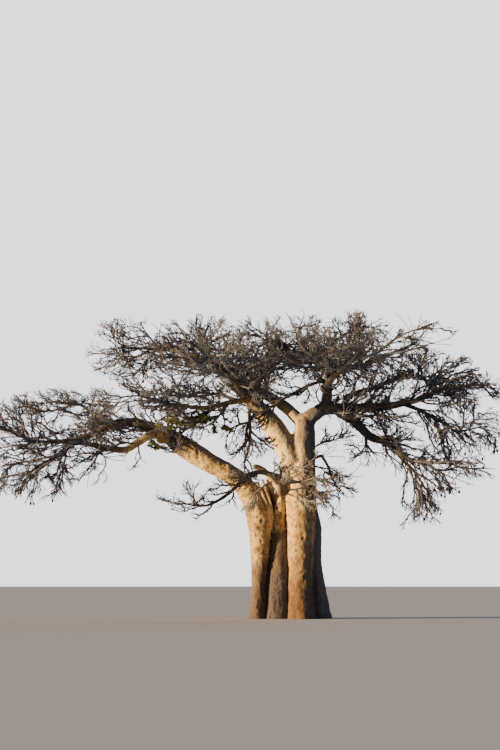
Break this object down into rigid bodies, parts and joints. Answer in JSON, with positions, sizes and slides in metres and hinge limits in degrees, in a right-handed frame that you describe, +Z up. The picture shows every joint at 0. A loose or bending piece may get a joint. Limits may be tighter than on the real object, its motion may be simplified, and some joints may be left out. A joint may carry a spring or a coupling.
{
  "type": "baobab tree",
  "caption": "Bare baobab tree with a trunk of fused swollen stems, long tapering boughs and a wide flat-topped crown of stout leafless twigs.",
  "frame": {"origin": "on the ground in the middle of the main stems, on the flat cut under the trunk", "axes": "+Z up, +X to the right along the crown's widest spread, -Y towards the viewer of the picture"},
  "size_m": [18.6655, 15.437, 11.3343],
  "materials": {
    "trunk_bark": "smooth pale cream-tan bark with dark pits, wrinkles and creases",
    "bough_bark": "smooth tan-grey bark, greyer on the upper sides",
    "twigs": "dull dark grey-brown twig bark",
    "leafy_twigs": "dull olive leaves on dark twigs",
    "fruit": "dull dark brown velvety hard shell",
    "dead_wood": "bleached dead wood without bark"
  },
  "bodies": {
    "root": {"trunk": "trunk_bark", "bough_left": "bough_bark", "bough_left_arch": "bough_bark", "bough_left_low": "bough_bark", "bough_left_crest": "bough_bark", "bough_left_sag": "bough_bark", "fork_left": "bough_bark", "bough_upper_left": "bough_bark", "bough_mid_left": "bough_bark", "bough_hub": "bough_bark", "bough_front_left": "bough_bark", "bough_back_left": "bough_bark", "bough_back": "bough_bark", "fork_right": "bough_bark", "upright": "bough_bark", "bough_right": "bough_bark", "bough_right_low": "bough_bark", "bough_top": "bough_bark", "bough_centre": "bough_bark", "bough_front_right": "bough_bark", "bough_back_centre": "bough_bark", "bough_upper_right": "bough_bark", "bough_back_right": "bough_bark", "branch_weeping": "bough_bark", "branch_low_left": "bough_bark", "branch_crossing": "bough_bark", "twigs_left_low": "twigs", "twigs_left_tip": "twigs", "twigs_left_crest": "twigs", "twigs_left_under": "twigs", "twigs_left_core": "twigs", "twigs_mid_left": "twigs", "twigs_mid_left_back": "twigs", "twigs_upper_left_tip": "twigs", "twigs_upper_left": "twigs", "twigs_hub": "twigs", "twigs_front_left": "twigs", "twigs_front_mid_left": "twigs", "twigs_back_left": "twigs", "twigs_back": "twigs", "twigs_centre": "twigs", "twigs_top": "twigs", "twigs_front_right": "twigs", "twigs_front_centre": "twigs", "twigs_back_centre": "twigs", "twigs_back_middle": "twigs", "twigs_back_right": "twigs", "twigs_upper_right": "twigs", "twigs_right_shoulder": "twigs", "twigs_right_tip": "twigs", "twigs_weeping": "twigs", "twigs_right_fan": "twigs", "twigs_right_hanging": "twigs", "twigs_under_right": "twigs", "twigs_under_low": "twigs", "twigs_trunk_right": "twigs", "twigs_trunk_front": "twigs", "twigs_low_left": "twigs", "twigs_hanging": "twigs", "spray_in_leaf": "leafy_twigs"}
  },
  "joints": []
}
